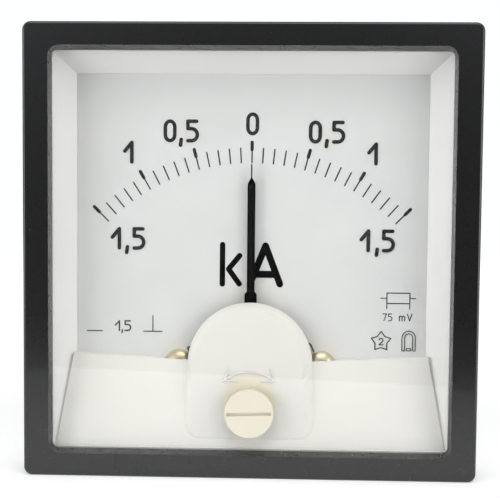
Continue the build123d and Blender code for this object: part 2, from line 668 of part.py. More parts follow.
# ---------------------------------------------------------------- moving coil and pointer
coil_plane = Plane(origin=(0, COIL_Y, AXIS_Z - WINDING_W / 2), x_dir=(1, 0, 0), z_dir=(0, 0, 1))
former_plane = Plane(origin=(0, COIL_Y, AXIS_Z - FORMER_W / 2), x_dir=(1, 0, 0), z_dir=(0, 0, 1))
former_outside = [size + 2 * FORMER_T for size in COIL_INSIDE]
winding_outside = [size + 2 * WINDING_T for size in former_outside]

with BuildPart() as coil_former:
    with BuildSketch(former_plane):
        RectangleRounded(*former_outside, 0.6)
        RectangleRounded(*COIL_INSIDE, 0.4, mode=Mode.SUBTRACT)
    extrude(amount=FORMER_W)
coil_former.part.label = "coil_former"
export_step(coil_former.part, "parts/coil_former.step")

with BuildPart() as coil_winding:
    with BuildSketch(coil_plane):
        RectangleRounded(*winding_outside, 1.4)
        RectangleRounded(*former_outside, 0.6, mode=Mode.SUBTRACT)
    extrude(amount=WINDING_W)
coil_winding.part.label = "coil_winding"
export_step(coil_winding.part, "parts/coil_winding.step")


def staff(name, place, shaft, pivot):
    """A staff glued to the coil's end: foot disc, shaft and the pivot that runs in a jewel."""
    with BuildPart() as piece:
        with BuildSketch(place):
            Circle(STAFF_FOOT[0])
        extrude(amount=STAFF_FOOT[1])
        with BuildSketch(place):
            Circle(STAFF_R)
        extrude(amount=shaft)
        with BuildSketch(place):
            Circle(PIVOT_R)
        extrude(amount=shaft + pivot)
        fillet(piece.edges().filter_by(GeomType.CIRCLE).sort_by(SortBy.RADIUS)[0:1], PIVOT_TIP)
    piece.part.label = name
    export_step(piece.part, f"parts/{name}.step")


staff("front_staff", looking_front(0, COIL_FRONT_Y, AXIS_Z), COIL_FRONT_Y - 2.55, 0.62)
staff("rear_staff", looking_back(0, COIL_REAR_Y, AXIS_Z), 20.25 - COIL_REAR_Y, 0.65)

with BuildPart() as pointer_arm:
    hub_t = HUB_Y[1] - HUB_Y[0]
    with BuildSketch(face_at(HUB_Y[1])):
        with Locations((0, AXIS_Z + CRANK_R[1] / 2)):
            Rectangle(1.6, CRANK_R[1])
        for angle in (-130, 130):
            with Locations((4.0 * sin(radians(angle)), AXIS_Z + 4.0 * cos(radians(angle)))):
                Rectangle(0.7, 8.0, rotation=-angle)
        with Locations((0, AXIS_Z)):
            Circle(1.7)
            Circle(STAFF_R, mode=Mode.SUBTRACT)
    extrude(amount=hub_t)
    # crank to the front of the dial, then the wide root of the pointer
    with BuildSketch(face_at(HUB_Y[1])):
        with Locations((0, AXIS_Z + sum(CRANK_R) / 2)):
            Rectangle(1.6, CRANK_R[1] - CRANK_R[0])
    extrude(amount=HUB_Y[1] - POINTER_Y[0])
    root_bottom = AXIS_Z + CRANK_R[0]
    with BuildSketch(face_at(POINTER_Y[1])):
        Polygon((-ROOT_W / 2, root_bottom), (ROOT_W / 2, root_bottom), (ROOT_W / 2, POINTER_BASE_Z - 0.5),
                (ROOT_W / 2 - 0.4, POINTER_BASE_Z), (0.4 - ROOT_W / 2, POINTER_BASE_Z),
                (-ROOT_W / 2, POINTER_BASE_Z - 0.5), align=None)
    extrude(amount=POINTER_Y[1] - POINTER_Y[0])
    with BuildSketch(face_at(POINTER_Y[1] - 0.2)):
        with Locations((0, POINTER_BASE_Z)):
            Rectangle(1.0, 3.6)
    extrude(amount=0.3, mode=Mode.SUBTRACT)
pointer_arm.part.label = "pointer_arm"
export_step(pointer_arm.part, "parts/pointer_arm.step")

with BuildPart() as pointer_blade:
    with BuildSketch(face_at(POINTER_Y[1])):
        Polygon((-BLADE_W / 2, POINTER_BASE_Z), (BLADE_W / 2, POINTER_BASE_Z), (BLADE_W / 2, SHOULDER_Z[0]),
                (NEEDLE_W, SHOULDER_Z[1]), (NEEDLE_W / 2, SHOULDER_Z[1] + 0.2), (NEEDLE_W / 2, TIP_Z),
                (-NEEDLE_W / 2, TIP_Z), (-NEEDLE_W / 2, SHOULDER_Z[1] + 0.2), (-NEEDLE_W, SHOULDER_Z[1]),
                (-BLADE_W / 2, SHOULDER_Z[0]), align=None)
    extrude(amount=0.5)
    # a low ridge down the middle
    with BuildSketch(Plane.XY.offset(POINTER_BASE_Z)):
        Polygon((-BLADE_W / 2, POINTER_Y[1] - 0.4), (BLADE_W / 2, POINTER_Y[1] - 0.4), (0, POINTER_Y[0]),
                align=None)
    extrude(amount=SHOULDER_Z[0] - POINTER_BASE_Z)
    # the tongue that is held in the arm's root
    with BuildSketch(face_at(POINTER_Y[1] - 0.2)):
        with Locations((0, POINTER_BASE_Z - 0.9)):
            Rectangle(1.0, 1.8)
    extrude(amount=0.3)
pointer_blade.part.label = "pointer_blade"
export_step(pointer_blade.part, "parts/pointer_blade.step")

with BuildPart() as balance_weights:
    for angle in (-130, 130):
        outward = (sin(radians(angle)), 0, cos(radians(angle)))
        start = (6.0 * outward[0], sum(HUB_Y) / 2, AXIS_Z + 6.0 * outward[2])
        with BuildSketch(Plane(origin=start, z_dir=outward, x_dir=(0, 1, 0))):
            Circle(0.75)
            Rectangle(hub_t, 0.7, mode=Mode.SUBTRACT)
        extrude(amount=1.5)
balance_weights.part.label = "balance_weights"
export_step(balance_weights.part, "parts/balance_weights.step")

# ---------------------------------------------------------------- terminals at the back
for pole, side in POLES.items():
    x, z = side * TERMINAL[0], TERMINAL[1]
    with BuildPart() as terminal_stud:
        with BuildSketch(face_at(STUD_END_Y)):
            with Locations((x, z)):
                Circle(STUD_R)
        extrude(amount=STUD_END_Y - STUD_HEAD_Y[0])
        chamfer(terminal_stud.edges().sort_by(Axis.Y)[-1], STUD_CHAMFER)
        with BuildSketch(face_at(STUD_GROOVE_Y[1])):
            with Locations((x, z)):
                Circle(STUD_R)
                Circle(STUD_GROOVE_R, mode=Mode.SUBTRACT)
        extrude(amount=STUD_GROOVE_Y[1] - STUD_GROOVE_Y[0], mode=Mode.SUBTRACT)
        with BuildSketch(face_at(STUD_HEAD_Y[1])):
            with Locations((x, z)):
                RegularPolygon(NUT_AF / 2, 6, major_radius=False)
        extrude(amount=STUD_HEAD_Y[1] - STUD_HEAD_Y[0])
    terminal_stud.part.label = f"terminal_stud_{pole}"
    export_step(terminal_stud.part, f"parts/terminal_stud_{pole}.step")

    with BuildPart() as terminal_washer:
        with BuildSketch(face_at(WASHER_Y[1])):
            with Locations((x, z)):
                Circle(WASHER_R)
                Circle(STUD_R + FIT, mode=Mode.SUBTRACT)
        extrude(amount=WASHER_Y[1] - WASHER_Y[0])
    terminal_washer.part.label = f"terminal_washer_{pole}"
    export_step(terminal_washer.part, f"parts/terminal_washer_{pole}.step")

    terminal_nut = hex_nut(NUT_AF, STUD_R + FIT, *TERMINAL_NUT_Y, x, z)
    terminal_nut.label = f"terminal_nut_{pole}"
    export_step(terminal_nut, f"parts/terminal_nut_{pole}.step")

stud_nut = hex_nut(NUT_AF, STUD_R, CASE_BACK_Y, CASE_BACK_Y + STUD_NUT_T, 0, TERMINAL[1])
with BuildPart() as stud_nuts:
    with Locations((-TERMINAL[0], 0, 0), (TERMINAL[0], 0, 0)):
        add(stud_nut)
stud_nuts.part.label = "stud_nuts"
export_step(stud_nuts.part, "parts/stud_nuts.step")

with BuildPart() as solder_tags:
    with BuildSketch(face_at(CASE_BACK_Y - BACK_WALL)):
        for side in POLES.values():
            with Locations((side * TERMINAL[0], TERMINAL[1] + TAG_STRAP[2])):
                SlotCenterToCenter(TAG_STRAP[0], TAG_STRAP[1], rotation=90)
            with Locations((side * TERMINAL[0], TERMINAL[1])):
                Circle(TAG_RING_R)
                Circle(STUD_R, mode=Mode.SUBTRACT)
            with Locations((side * TERMINAL[0], TERMINAL[1] + TAG_HOLE_REACH)):
                Circle(TAG_HOLE_R, mode=Mode.SUBTRACT)
    extrude(amount=TAG_T)
solder_tags.part.label = "solder_tags"
export_step(solder_tags.part, "parts/solder_tags.step")

with BuildPart() as resistor_bobbin:
    for outer_r, front_y, back_y in zip((BOBBIN_R[2], BOBBIN_R[0], BOBBIN_R[2]), BOBBIN_Y, BOBBIN_Y[1:]):
        with BuildSketch(face_at(back_y)):
            with Locations((0, RESISTOR_Z)):
                Circle(outer_r)
        extrude(amount=back_y - front_y)
resistor_bobbin.part.label = "resistor_bobbin"
export_step(resistor_bobbin.part, "parts/resistor_bobbin.step")

resistor_winding = disc(BOBBIN_R[1], BOBBIN_R[0], BOBBIN_Y[1], BOBBIN_Y[2], RESISTOR_Z)
resistor_winding.label = "resistor_winding"
export_step(resistor_winding, "parts/resistor_winding.step")

# hand-laid routes: positive tag to resistor, resistor to rear bridge, negative tag to front bridge
WIRE_ROUTES = (
    ((16.9, 26.8, 10.6), (14.0, 24.0, 14.0), (9.0, 23.0, 17.0), (5.1, 23.5, 18.0)),
    ((-5.1, 23.5, 18.0), (-9.0, 22.0, 12.0), (-12.0, 21.0, -2.0), (-14.0, 21.8, -17.3)),
    ((-18.6, 26.9, 10.9), (-23.0, 22.0, 9.0), (-26.0, 12.0, -2.0), (-22.0, 4.0, -14.0), (-16.0, 1.2, -20.0)),
)
with BuildPart() as lead_wires:
    for route in WIRE_ROUTES:
        with BuildLine() as wire:
            Spline(*route)
        with BuildSketch(Plane(wire.line @ 0, z_dir=wire.line % 0)):
            Circle(WIRE_R)
        sweep(path=wire.line)
lead_wires.part.label = "lead_wires"
export_step(lead_wires.part, "parts/lead_wires.step")

# ---------------------------------------------------------------- clamps that hold the panel
for name, side in SIDES.items():
    plate_x = side * (REAR_BODY / 2 + CLAMP_PLATE[0] / 2)
    screw_x = side * CLAMP_SCREW_X
    with BuildPart() as clamp_bracket:
        with Locations((plate_x, CLAMP_EAR_BACK_Y - CLAMP_PLATE[1] / 2, 0)):
            Box(*CLAMP_PLATE)
        with Locations((side * (REAR_BODY + CLAMP_EAR[0]) / 2, CLAMP_EAR_BACK_Y - CLAMP_EAR[1] / 2, 0)):
            Box(*CLAMP_EAR)
        with BuildSketch(face_at(CLAMP_EAR_BACK_Y)):
            with Locations((screw_x, 0)):
                Circle(CLAMP_SCREW_R + FIT)
        extrude(amount=CLAMP_EAR[1], mode=Mode.SUBTRACT)
    clamp_bracket.part.label = f"clamp_bracket_{name}"
    export_step(clamp_bracket.part, f"parts/clamp_bracket_{name}.step")

    with BuildPart() as clamp_foot:
        with BuildSketch(face_at(CLAMP_FOOT_Y[1])):
            with Locations((screw_x, 0)):
                RectangleRounded(*CLAMP_FOOT, CLAMP_FOOT_CORNER)
        extrude(amount=CLAMP_FOOT_Y[1] - CLAMP_FOOT_Y[0])
        with BuildSketch(face_at(CLAMP_FOOT_Y[1])):
            with Locations((screw_x, 0)):
                Circle(CLAMP_NECK_R + FIT)
        extrude(amount=CLAMP_NECK_DEPTH, mode=Mode.SUBTRACT)
    clamp_foot.part.label = f"clamp_foot_{name}"
    export_step(clamp_foot.part, f"parts/clamp_foot_{name}.step")

    with BuildPart() as clamp_screw:
        neck_y = CLAMP_FOOT_Y[1] + CLAMP_NECK_GAP
        with BuildSketch(face_at(CLAMP_HEAD_Y[0])):
            with Locations((screw_x, 0)):
                Circle(CLAMP_SCREW_R)
        extrude(amount=CLAMP_HEAD_Y[0] - neck_y)
        with BuildSketch(face_at(neck_y)):
            with Locations((screw_x, 0)):
                Circle(CLAMP_NECK_R)
        extrude(amount=CLAMP_NECK_DEPTH)
        with BuildSketch(face_at(CLAMP_HEAD_Y[1])):
            with Locations((screw_x, 0)):
                Circle(CLAMP_HEAD_R)
        extrude(amount=CLAMP_HEAD_Y[1] - CLAMP_HEAD_Y[0])
        fillet(clamp_screw.edges().group_by(Axis.Y)[-1], CLAMP_HEAD_EDGE)
        with Locations((screw_x, CLAMP_HEAD_Y[1], 0)):
            Box(3 * CLAMP_HEAD_R, *CLAMP_HEAD_SLOT, mode=Mode.SUBTRACT)
    clamp_screw.part.label = f"clamp_screw_{name}"
    export_step(clamp_screw.part, f"parts/clamp_screw_{name}.step")
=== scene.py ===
"""Looks of the panel galvanometer: materials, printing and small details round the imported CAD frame."""
import json
from math import atan2, cos, pi, radians, sin

import bmesh
import bpy
from mathutils import Matrix, Vector


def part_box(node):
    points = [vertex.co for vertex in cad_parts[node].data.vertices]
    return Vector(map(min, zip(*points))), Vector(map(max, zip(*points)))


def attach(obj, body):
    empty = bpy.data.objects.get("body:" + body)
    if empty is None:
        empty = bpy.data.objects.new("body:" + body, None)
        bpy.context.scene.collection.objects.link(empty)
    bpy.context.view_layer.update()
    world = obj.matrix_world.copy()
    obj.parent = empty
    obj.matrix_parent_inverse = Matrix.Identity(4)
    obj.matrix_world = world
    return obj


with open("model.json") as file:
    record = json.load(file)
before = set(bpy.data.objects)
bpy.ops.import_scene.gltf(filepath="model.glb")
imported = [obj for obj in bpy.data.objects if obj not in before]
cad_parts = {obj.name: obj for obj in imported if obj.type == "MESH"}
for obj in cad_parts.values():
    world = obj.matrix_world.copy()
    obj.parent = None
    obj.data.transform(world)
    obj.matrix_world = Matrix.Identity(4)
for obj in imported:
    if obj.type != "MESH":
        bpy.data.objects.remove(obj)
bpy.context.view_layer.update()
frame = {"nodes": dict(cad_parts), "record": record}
MM = 0.001

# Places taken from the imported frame, in millimetres
DIAL_FACE_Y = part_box("dial_plate")[0][1] / MM
AXIS_Z = sum(corner[2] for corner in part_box("core_magnet")) / 2 / MM
DOME_FACE_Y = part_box("front_shield")[0][1] / MM
PRINT_LIFT = 0.02
THREAD_PITCH = 0.7
BEZEL_FRONT_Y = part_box("bezel")[0][1] / MM


# ---------------------------------------------------------------- camera
CAMERA_PLACE = Vector((5.37, BEZEL_FRONT_Y - 166.14, 10.08))
CAMERA_RIGHT = Vector((0.99942, 0.03279, 0.00876))
CAMERA_FORWARD = Vector((-0.03225, 0.9979, -0.05613))


def make_camera():
    """The photograph's view: close, a little to the right of the pointer and above the middle of the dial."""
    data = bpy.data.cameras.new("camera")
    data.sensor_width = 36.0
    data.lens = 68.76
    data.clip_start = 0.01
    data.clip_end = 10.0
    camera = bpy.data.objects.new("camera", data)
    bpy.context.scene.collection.objects.link(camera)
    forward = CAMERA_FORWARD.normalized()
    right = (CAMERA_RIGHT - forward * CAMERA_RIGHT.dot(forward)).normalized()
    up = right.cross(forward)
    turn = Matrix((right, up, -forward)).transposed()
    camera.matrix_world = Matrix.Translation(CAMERA_PLACE * MM) @ turn.to_4x4()
    bpy.context.scene.camera = camera


# ---------------------------------------------------------------- materials
# Where the colour turns warmer, as (x, z) in millimetres: round the corrector a painted warm shade and glow,
# on the enamel yellowing
PAINTED_WARM_SHADE_PLACE = (0, -27.3)
EDGE_STAINS = ((-31.8, 17.5), (-31.2, 21.5))
NUMERAL_HALOES = ((-11.8, 21.5), (13.5, 20.8))
SCREW_HALOES = ((-13.0, -18.4), (13.0, -18.4))
POINTER_ROOT = (0, -10.5)


class Nodes:
    """A short way to write a node tree: each call adds one node and returns its first output."""

    def __init__(self, name):
        self.material = bpy.data.materials.new(name)
        self.material.use_nodes = True
        self.tree = self.material.node_tree
        self.shader = self.tree.nodes["Principled BSDF"]
        self.output = self.tree.nodes["Material Output"]
        self.place = self.add("ShaderNodeTexCoord").outputs["Object"]

    def add(self, kind, **settings):
        node = self.tree.nodes.new(kind)
        for key, value in settings.items():
            setattr(node, key, value)
        return node

    def link(self, source, target):
        self.tree.links.new(source, target)

    def noise(self, scale, detail=4.0, roughness=0.5, stretch=None):
        node = self.add("ShaderNodeTexNoise")
        node.inputs["Scale"].default_value = scale
        node.inputs["Detail"].default_value = detail
        node.inputs["Roughness"].default_value = roughness
        self.link(self.stretched(stretch) if stretch else self.place, node.inputs["Vector"])
        return node.outputs["Fac"]

    def stretched(self, scale):
        node = self.add("ShaderNodeMapping")
        node.inputs["Scale"].default_value = scale
        self.link(self.place, node.inputs["Vector"])
        return node.outputs["Vector"]

    def cells(self, scale):
        node = self.add("ShaderNodeTexVoronoi")
        node.inputs["Scale"].default_value = scale
        self.link(self.place, node.inputs["Vector"])
        return node.outputs["Distance"]

    def ramp(self, factor, *stops):
        """stops are (position, grey or colour)."""
        node = self.add("ShaderNodeValToRGB")
        elements = node.color_ramp.elements
        while len(elements) < len(stops):
            elements.new(0.5)
        for element, (position, colour) in zip(elements, stops):
            element.position = position
            element.color = (*colour, 1) if isinstance(colour, tuple) else (colour, colour, colour, 1)
        self.link(factor, node.inputs["Fac"])
        return node.outputs["Color"]

    def mix(self, factor, first, second, blend="MIX"):
        """Blends two colours; each is a colour or an output."""
        node = self.add("ShaderNodeMix", data_type="RGBA", blend_type=blend)
        for value, label in ((factor, "Factor"), (first, "A"), (second, "B")):
            socket = self.mix_socket(node, label)
            if isinstance(value, bpy.types.NodeSocket):
                self.link(value, socket)
            elif isinstance(value, tuple):
                socket.default_value = (*value, 1)
            else:
                socket.default_value = value
        return next(o for o in node.outputs if o.type == "RGBA")

    def base(self):
        """The output that colours the shader so far."""
        return self.shader.inputs["Base Color"].links[0].from_socket

    @staticmethod
    def mix_socket(node, label):
        """The Mix node has a socket of each kind under one name; this picks the one that colours use."""
        kind = "VALUE" if label == "Factor" else "RGBA"
        return next(s for s in node.inputs if s.name == label and s.type == kind)

    def bump(self, height, distance, strength=1.0):
        node = self.add("ShaderNodeBump")
        node.inputs["Distance"].default_value = distance
        node.inputs["Strength"].default_value = strength
        self.link(height, node.inputs["Height"])
        self.link(node.outputs["Normal"], self.shader.inputs["Normal"])

    def set(self, **values):
        """Plain values on the shader, with underscores for the spaces in socket names."""
        for name, value in values.items():
            self.shader.inputs[name.replace("_", " ")].default_value = value

    def colour(self, source):
        self.link(source, self.shader.inputs["Base Color"])

    def rough(self, source):
        self.link(source, self.shader.inputs["Roughness"])


def moulded(name, light, dark, rough=(0.34, 0.46), grain=0.00002, gloss=0.5):
    """Moulded plastic: slow drift between two close colours, a fine grain and uneven gloss."""
    n = Nodes(name)
    drift = n.noise(45.0, 3.0)
    n.colour(n.mix(n.ramp(drift, (0.3, 0.0), (0.7, 1.0)), dark, light))
    n.rough(n.ramp(n.noise(900.0, 3.0), (0.3, rough[0]), (0.7, rough[1])))
    n.bump(n.noise(2600.0, 2.0), grain)
    n.set(Specular_IOR_Level=gloss)
    return n


def black_bezel():
    """Satin black plastic, nearly smooth, with a few specks of dust."""
    light, dark = (0.006, 0.006, 0.0065), (0.005, 0.005, 0.0055)
    n = moulded("black_bezel", light, dark, (0.27, 0.29), 0.000002, 0.6)
    n.set(Coat_Weight=0.3, Coat_Roughness=0.08)
    dust = n.ramp(n.cells(330.0), (0.035, 1.0), (0.055, 0.0))
    few = n.ramp(n.noise(210.0, 1.0), (0.62, 0.0), (0.66, 1.0))
    shown = n.mix(1.0, dust, few, "MULTIPLY")
    n.colour(n.mix(shown, n.base(), (0.32, 0.31, 0.29)))
    return n.material


def clear_window():
    """Clear plastic. Lamps shine through it, which a bending shader alone would not let them do."""
    n = Nodes("clear_window")
    n.set(Base_Color=(0.985, 0.99, 0.99, 1), Roughness=0.0, IOR=1.36, Transmission_Weight=1.0)
    clear = n.add("ShaderNodeBsdfTransparent")
    clear.inputs["Color"].default_value = (0.97, 0.98, 0.98, 1)
    mixer = n.add("ShaderNodeMixShader")
    n.link(n.add("ShaderNodeLightPath").outputs["Is Shadow Ray"], mixer.inputs[0])
    n.link(n.shader.outputs["BSDF"], mixer.inputs[1])
    n.link(clear.outputs["BSDF"], mixer.inputs[2])
    n.link(mixer.outputs["Shader"], n.output.inputs["Surface"])
    return n.material


def near(n, point, inner, outer):
    """1 within the inner distance of a point and 0 beyond the outer one; millimetres, points as (x, z)."""
    flat = n.add("ShaderNodeVectorMath", operation="MULTIPLY")
    flat.inputs[1].default_value = (1, 0, 1)
    n.link(n.place, flat.inputs[0])
    gap = n.add("ShaderNodeVectorMath", operation="DISTANCE")
    gap.inputs[1].default_value = (point[0] * MM, 0, point[1] * MM)
    n.link(flat.outputs[0], gap.inputs[0])
    span = n.add("ShaderNodeMapRange", interpolation_type="SMOOTHSTEP")
    span.inputs["From Min"].default_value = outer * MM
    span.inputs["From Max"].default_value = inner * MM
    n.link(gap.outputs["Value"], span.inputs["Value"])
    return span.outputs["Result"]


def cream_shield():
    """Cream moulding, with a painted warm shade and glow round the corrector's shaft."""
    light, dark = (0.775, 0.755, 0.71), (0.75, 0.73, 0.685)
    n = moulded("cream_shield", light, dark, (0.42, 0.5), 0.00001, 0.4)
    # painted light: a warmer, darker ring that stands for the corrector head's shadow and the light through
    # the plastic
    n.colour(n.mix(near(n, PAINTED_WARM_SHADE_PLACE, 3.6, 6.0), n.base(), (0.78, 0.71, 0.55)))
    return n.material


def dial_enamel():
    """Matt white enamel, faintly mottled and yellowed at its left edge and in a few soft patches."""
    n = Nodes("dial_enamel")
    mottle = n.ramp(n.noise(120.0, 5.0), (0.35, 0.0), (0.65, 1.0))
    clean = n.mix(mottle, (0.675, 0.675, 0.665), (0.70, 0.70, 0.69))
    patches = n.ramp(n.noise(260.0, 5.0, 0.6), (0.44, 0.0), (0.60, 1.0))
    edge = n.mix(1.0, near(n, EDGE_STAINS[0], 0.5, 3.6), near(n, EDGE_STAINS[1], 0.3, 2.6), "ADD")
    stained = n.mix(1.0, patches, edge, "MULTIPLY")
    numerals = n.mix(1.0, near(n, NUMERAL_HALOES[0], 0.5, 4.0), near(n, NUMERAL_HALOES[1], 0.5, 3.4), "ADD")
    screws = n.mix(1.0, near(n, SCREW_HALOES[0], 1.5, 6.0), near(n, SCREW_HALOES[1], 1.5, 6.0), "ADD")
    root = near(n, POINTER_ROOT, 2.0, 12.0)
    warm = n.mix(1.0, n.mix(1.0, stained, numerals, "ADD"), n.mix(1.0, screws, root, "ADD"), "ADD")
    n.colour(n.mix(n.mix(1.0, warm, (0.28, 0.28, 0.28), "MULTIPLY"), clean, (0.70, 0.66, 0.53)))
    n.rough(n.ramp(n.noise(1500.0), (0.3, 0.5), (0.7, 0.62)))
    n.bump(n.noise(4000.0, 2.0), 0.000008)
    return n.material


def ink(name, shade, speckle):
    """Screen-printed ink, slightly uneven where the mesh left it thin."""
    n = Nodes(name)
    n.colour(n.ramp(n.noise(5200.0, 2.0), (0.35, shade), (0.7, shade + speckle)))
    n.rough(n.ramp(n.noise(2500.0), (0.3, 0.35), (0.7, 0.45)))
    n.set(Specular_IOR_Level=0.06)
    return n.material


def metal(name, light, dark, rough=(0.2, 0.35), stretch=(1, 1, 1), scale=600.0, grain=0.000006):
    """Bare or plated metal with machining marks drawn along one way and dulled patches."""
    n = Nodes(name)
    n.colour(n.mix(n.ramp(n.noise(160.0, 4.0), (0.3, 0.0), (0.7, 1.0)), dark, light))
    lines = n.noise(scale, 5.0, stretch=stretch)
    n.rough(n.ramp(lines, (0.3, rough[0]), (0.7, rough[1])))
    n.bump(lines, grain)
    n.set(Metallic=1.0)
    return n.material


def threaded():
    """Brass with a fine screw thread, drawn as rings along Y, with painted shade in the darker bands of the
    grooves.
    """
    n = Nodes("threaded_brass")
    wave = n.add("ShaderNodeTexWave", wave_type="BANDS", bands_direction="Y")
    wave.inputs["Scale"].default_value = 2 * pi / 20 / (THREAD_PITCH * MM)
    n.link(n.place, wave.inputs["Vector"])
    # painted shade: the bands darken the brass where the thread's grooves lie
    n.colour(n.mix(wave.outputs["Fac"], (0.38, 0.31, 0.18), (0.80, 0.72, 0.52)))
    n.rough(n.ramp(n.noise(1500.0), (0.3, 0.25), (0.7, 0.4)))
    n.bump(wave.outputs["Fac"], 0.00018)
    n.set(Metallic=1.0)
    return n.material


def winding():
    """Enamelled copper wire laid turn by turn: fine ridges across the layer, with painted shade in the darker
    bands between the turns.
    """
    n = Nodes("copper_winding")
    wave = n.add("ShaderNodeTexWave", wave_type="BANDS", bands_direction="Y")
    wave.inputs["Scale"].default_value = 1300.0
    wave.inputs["Distortion"].default_value = 0.3
    n.link(n.place, wave.inputs["Vector"])
    # painted shade: the bands darken the copper in the crevices between the turns
    n.colour(n.mix(wave.outputs["Fac"], (0.30, 0.07, 0.02), (0.62, 0.22, 0.08)))
    n.rough(n.ramp(n.noise(400.0), (0.3, 0.3), (0.7, 0.42)))
    n.bump(wave.outputs["Fac"], 0.00006)
    n.set(Metallic=0.7, Coat_Weight=0.6, Coat_Roughness=0.1)
    return n.material


def matt_black():
    n = Nodes("pointer_black")
    n.colour(n.ramp(n.noise(1800.0), (0.3, 0.002), (0.75, 0.006)))
    n.rough(n.ramp(n.noise(900.0), (0.3, 0.4), (0.7, 0.55)))
    n.set(Specular_IOR_Level=0.06)
    n.bump(n.noise(5000.0, 2.0), 0.000006)
    return n.material


def jewel():
    n = Nodes("ruby_jewel")
    n.colour(n.mix(n.noise(500.0), (0.6, 0.02, 0.06), (0.75, 0.05, 0.12)))
    n.rough(n.ramp(n.noise(900.0), (0.3, 0.04), (0.7, 0.1)))
    n.set(Transmission_Weight=0.5, IOR=1.76)
    return n.material


def ivory_case():
    """The case's moulding."""
    return moulded("ivory_case", (0.83, 0.82, 0.80), (0.81, 0.795, 0.77), (0.4, 0.5), 0.00002, 0.4).material


def corrector_cream():
    """The corrector's warmer cream."""
    light, dark = (0.755, 0.705, 0.595), (0.735, 0.685, 0.57)
    return moulded("corrector_cream", light, dark, (0.4, 0.5), 0.000006).material


def brown_phenolic():
    """The resistor bobbin's dark moulding."""
    return moulded("brown_phenolic", (0.10, 0.04, 0.02), (0.07, 0.025, 0.012), (0.25, 0.4)).material


def red_sleeve():
    """Plastic sleeve on the lead wires."""
    return moulded("red_sleeve", (0.42, 0.03, 0.02), (0.36, 0.02, 0.015), (0.3, 0.4)).material


def pale_brass():
    """Brass with a thin pale plating, worn through in places."""
    light, dark = (0.80, 0.72, 0.52), (0.60, 0.52, 0.35)
    return metal("pale_brass", light, dark, (0.28, 0.45), scale=1500.0, grain=0.00002)


def zinc_plate():
    return metal("zinc_plate", (0.62, 0.63, 0.64), (0.48, 0.49, 0.50), (0.25, 0.42))


def dark_steel():
    return metal("dark_steel", (0.16, 0.15, 0.14), (0.09, 0.085, 0.08), (0.25, 0.4))


def cast_aluminium():
    return metal("cast_aluminium", (0.68, 0.69, 0.70), (0.55, 0.56, 0.57), (0.35, 0.5), grain=0.00002)


def soft_iron():
    return metal("soft_iron", (0.42, 0.42, 0.43), (0.30, 0.30, 0.31), (0.3, 0.45), (1, 8, 1))


def magnet_alloy():
    return metal("magnet_alloy", (0.26, 0.26, 0.27), (0.18, 0.18, 0.19), (0.35, 0.5), (1, 6, 1))


def spring_bronze():
    return metal("spring_bronze", (0.75, 0.45, 0.2), (0.62, 0.36, 0.15), (0.15, 0.25))


MATERIALS = {
    "black_plastic": black_bezel(),
    "clear_window": clear_window(),
    "ivory_plastic": ivory_case(),
    "dial_white": dial_enamel(),
    "cream_plastic": cream_shield(),
    "corrector_plastic": corrector_cream(),
    "nickel_brass": pale_brass(),
    "zinc_steel": zinc_plate(),
    "dark_steel": dark_steel(),
    "bridge_aluminium": cast_aluminium(),
    "yoke_steel": soft_iron(),
    "magnet_alloy": magnet_alloy(),
    "jewel": jewel(),
    "spring_bronze": spring_bronze(),
    "copper_wire": winding(),
    "pointer_black": matt_black(),
    "brown_plastic": brown_phenolic(),
    "wire_sleeve": red_sleeve(),
}
DIAL_INK = ink("dial_ink", 0.008, 0.07)
UNIT_INK = ink("unit_ink", 0.001, 0.012)
MARK_INK = ink("mark_ink", 0.035, 0.08)


def dress_cad_nodes():
    """Every carried-over CAD node takes the procedural material of its slot in the record."""
    thread = threaded()
    for part in frame["record"]["subparts"]:
        node = frame["nodes"][part["node"]]
        is_stud = part["node"].startswith("terminal_stud")
        node.data.materials.clear()
        node.data.materials.append(thread if is_stud else MATERIALS[part["material_slot"]])


# ---------------------------------------------------------------- printing on the dial
def piece_from(bm, name, material, body="meter_body"):
    """Turns a bmesh in millimetres into a piece that rides on a body."""
    bmesh.ops.scale(bm, vec=(MM, MM, MM), verts=bm.verts)
    mesh = bpy.data.meshes.new(name)
    bm.to_mesh(mesh)
    bm.free()
    mesh.materials.append(material)
    piece = bpy.data.objects.new(name, mesh)
    bpy.context.scene.collection.objects.link(piece)
    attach(piece, body)
    return piece


def arc(centre, radius, start, end, steps=14, squash=1.0):
    """Points of an arc in degrees, counted from +X towards +Z; squash scales its height."""
    turn = [radians(start + (end - start) * i / steps) for i in range(steps + 1)]
    return [(centre[0] + radius * cos(a), centre[1] + radius * squash * sin(a)) for a in turn]


class Printing:
    """Ink strokes with round ends on a plane that faces the front. Each face is a hair above the last."""

    def __init__(self, y):
        self.bm = bmesh.new()
        self.y = y

    def face(self, points):
        self.y -= 0.0004
        self.bm.faces.new([self.bm.verts.new((x, self.y, z)) for x, z in points])

    def stroke(self, points, width, closed=False, round_ends=True):
        """A band of ink along the points, with round joints and ends."""
        pairs = list(zip(points, points[1:] + points[:1])) if closed else list(zip(points, points[1:]))
        half = width / 2
        for (x0, z0), (x1, z1) in pairs:
            turn = atan2(z1 - z0, x1 - x0)
            nx, nz = -sin(turn) * half, cos(turn) * half
            self.face([(x0 + nx, z0 + nz), (x0 - nx, z0 - nz), (x1 - nx, z1 - nz), (x1 + nx, z1 + nz)])
        joints = points if round_ends or closed else points[1:-1]
        for x, z in joints:
            self.face([(x + half * sin(a), z + half * cos(a)) for a in (2 * pi * i / 16 for i in range(16))])

    def finish(self, name, material):
        return piece_from(self.bm, name, material)


def zero(x, z, w, h, pen):
    """The figure 0 as a narrow oval with straight sides; x, z is its lower left corner inside the pen."""
    r = w / 2
    top = arc((x + r, z + h - r * 1.25), r, 0, 180, 12, 1.25)
    bottom = arc((x + r, z + r * 1.25), r, 180, 360, 12, 1.25)
    pen(top + bottom, True)


